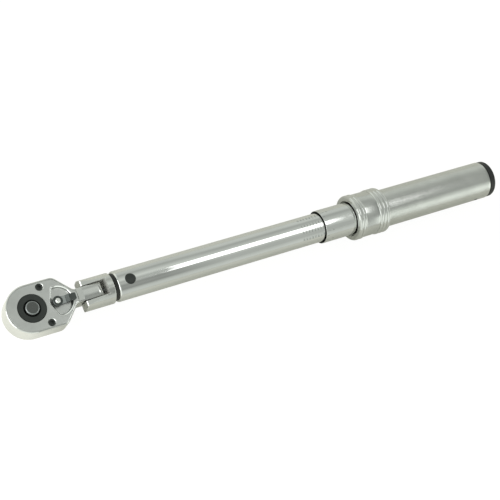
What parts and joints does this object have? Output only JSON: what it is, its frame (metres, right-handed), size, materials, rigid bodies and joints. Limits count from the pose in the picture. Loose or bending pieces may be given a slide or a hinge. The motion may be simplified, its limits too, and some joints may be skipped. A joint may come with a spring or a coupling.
{
  "type": "torque wrench",
  "caption": "Click torque wrench with a flexing ratchet head, square drive, chromed tube, micrometer thimble, lock collar and knurled grip.",
  "frame": {"origin": "on the drive axis, at the shoulder of the square drive that a socket seats against", "axes": "+X along the tube to the handle's end cap, +Y across the wrench, +Z out of the head's top face, away from the socket"},
  "size_m": [0.4112, 0.035, 0.035],
  "materials": {
    "head_chrome": "forged alloy steel, polished chrome sides and edges",
    "face_chrome": "satin chrome, fine grained",
    "fork_chrome": "polished chrome with faint forging waves",
    "tube_chrome": "mirror-polished chrome, engraved scale under the thimble's edge",
    "thimble_chrome": "polished chrome with engraved divisions",
    "collar_chrome": "satin chrome waist with polished beads",
    "grip_chrome": "matt chrome over a fine diamond knurl",
    "black_oxide": "black oxide steel, satin",
    "button_steel": "dark phosphate steel with turning marks",
    "lever_steel": "dark phosphate steel, worn brighter on the neck",
    "bright_steel": "ground and polished bearing steel",
    "tool_steel": "ground tool steel, lightly oiled",
    "spring_steel": "oil-tempered spring wire",
    "seal_rubber": "black nitrile rubber, matt",
    "cap_plastic": "black moulded nylon, satin"
  },
  "bodies": {
    "tube": {"main_tube": "tube_chrome", "pivot_pin": "black_oxide", "dust_seal": "seal_rubber", "adjuster_nut": "tool_steel", "nut_pins": "tool_steel", "main_spring": "spring_steel"},
    "yoke": {"yoke_lever": "fork_chrome", "flex_pin": "fork_chrome", "flex_plunger": "tool_steel", "flex_spring": "spring_steel"},
    "head": {"ratchet_body": "head_chrome", "cover_plate": "face_chrome", "cover_screws": "black_oxide"},
    "drive": {"drive_anvil": "black_oxide", "release_spring": "spring_steel"},
    "release": {"release_button": "button_steel"},
    "drive_ball": {"socket_ball": "bright_steel"},
    "selector": {"reversing_lever": "lever_steel", "lever_rivet": "bright_steel", "pawl_spring": "spring_steel"},
    "detent": {"pawl_plunger": "tool_steel"},
    "pawl_body": {"pawl": "tool_steel"},
    "recoil": {"spring_plunger": "tool_steel"},
    "toggle": {"toggle_link": "tool_steel"},
    "thrust": {"spring_seat": "tool_steel", "thrust_ball": "bright_steel"},
    "handle": {"adjusting_screw": "tool_steel", "thimble_sleeve": "thimble_chrome", "grip_sleeve": "grip_chrome", "grip_plug": "tool_steel", "grip_set_screw": "black_oxide", "lock_nut": "tool_steel", "end_cap": "cap_plastic"},
    "lock_ring": {"lock_collar": "collar_chrome", "detent_ring": "spring_steel"},
    "ball_1": {"lock_ball_1": "bright_steel"},
    "ball_2": {"lock_ball_2": "bright_steel"},
    "ball_3": {"lock_ball_3": "bright_steel"}
  },
  "joints": [
    {"name": "click_pivot", "type": "hinge", "parent": "tube", "child": "yoke", "pos_m": [0.0718, 0, 0.0068], "axis": [0, 0, 1], "range_deg": [-1.5, 1.5], "stiffness_Nm_per_rad": 30},
    {"name": "head_flex", "type": "hinge", "parent": "yoke", "child": "head", "pos_m": [0.0443, 0, 0.0068], "axis": [0, 1, 0], "range_deg": [-15, 15]},
    {"name": "drive_spin", "type": "hinge", "parent": "head", "child": "drive", "pos_m": [0, 0, 0.0068], "axis": [0, 0, 1], "continuous": true},
    {"name": "release_press", "type": "slide", "parent": "drive", "child": "release", "axis": [0, 0, -1], "range_m": [0, 0.0015], "stiffness_N_per_m": 900, "springref_m": -0.001, "deforming": ["release_spring"]},
    {"name": "ball_retract", "type": "slide", "parent": "drive", "child": "drive_ball", "axis": [-1, 0, 0], "range_m": [0, 0.00053]},
    {"name": "selector_throw", "type": "hinge", "parent": "head", "child": "selector", "pos_m": [0.0185, 0, 0.0068], "axis": [0, 0, 1], "range_deg": [-25, 25]},
    {"name": "pawl_rock", "type": "hinge", "parent": "head", "child": "pawl_body", "pos_m": [0.014, 0, 0.0068], "axis": [0, 0, 1], "range_deg": [-7.5, 7.5]},
    {"name": "pawl_plunger_press", "type": "slide", "parent": "selector", "child": "detent", "axis": [-1, 0, 0], "range_m": [-0.0006, 0], "stiffness_N_per_m": 400, "springref_m": 0.0005, "deforming": ["pawl_spring"]},
    {"name": "plunger_recoil", "type": "slide", "parent": "tube", "child": "recoil", "axis": [1, 0, 0], "range_m": [0, 0.001], "stiffness_N_per_m": 3000, "springref_m": -0.002},
    {"name": "toggle_tilt", "type": "hinge", "parent": "recoil", "child": "toggle", "pos_m": [0.135, 0, 0.0068], "axis": [0, 0, 1], "range_deg": [-9.1, 9.1]},
    {"name": "spring_preload", "type": "slide", "parent": "tube", "child": "thrust", "axis": [1, 0, 0], "range_m": [-0.0178, 0.00255], "deforming": ["main_spring"]},
    {"name": "handle_turn", "type": "hinge", "parent": "thrust", "child": "handle", "pos_m": [0.3, 0, 0.0068], "axis": [1, 0, 0], "range_deg": [-2520, 360]},
    {"name": "lock_slide", "type": "slide", "parent": "handle", "child": "lock_ring", "axis": [1, 0, 0], "range_m": [-0.0035, 0]},
    {"name": "lock_ball_1_press", "type": "slide", "parent": "handle", "child": "ball_1", "axis": [0, 0, -1], "range_m": [0, 0.0006]},
    {"name": "lock_ball_2_press", "type": "slide", "parent": "handle", "child": "ball_2", "axis": [0, 0.866, 0.5], "range_m": [0, 0.0006]},
    {"name": "lock_ball_3_press", "type": "slide", "parent": "handle", "child": "ball_3", "axis": [0, -0.866, 0.5], "range_m": [0, 0.0006]}
  ],
  "couplings": [
    {"joint": "ball_retract", "follows": "release_press", "ratio": 0.35},
    {"joint": "pawl_rock", "follows": "selector_throw", "ratio": -0.3},
    {"joint": "toggle_tilt", "follows": "click_pivot", "ratio": -6.0556},
    {"joint": "spring_preload", "follows": "handle_turn", "m_per_rad": 0.00040425},
    {"joint": "lock_ball_1_press", "follows": "lock_slide", "ratio": -0.1714},
    {"joint": "lock_ball_2_press", "follows": "lock_slide", "ratio": -0.1714},
    {"joint": "lock_ball_3_press", "follows": "lock_slide", "ratio": -0.1714}
  ]
}
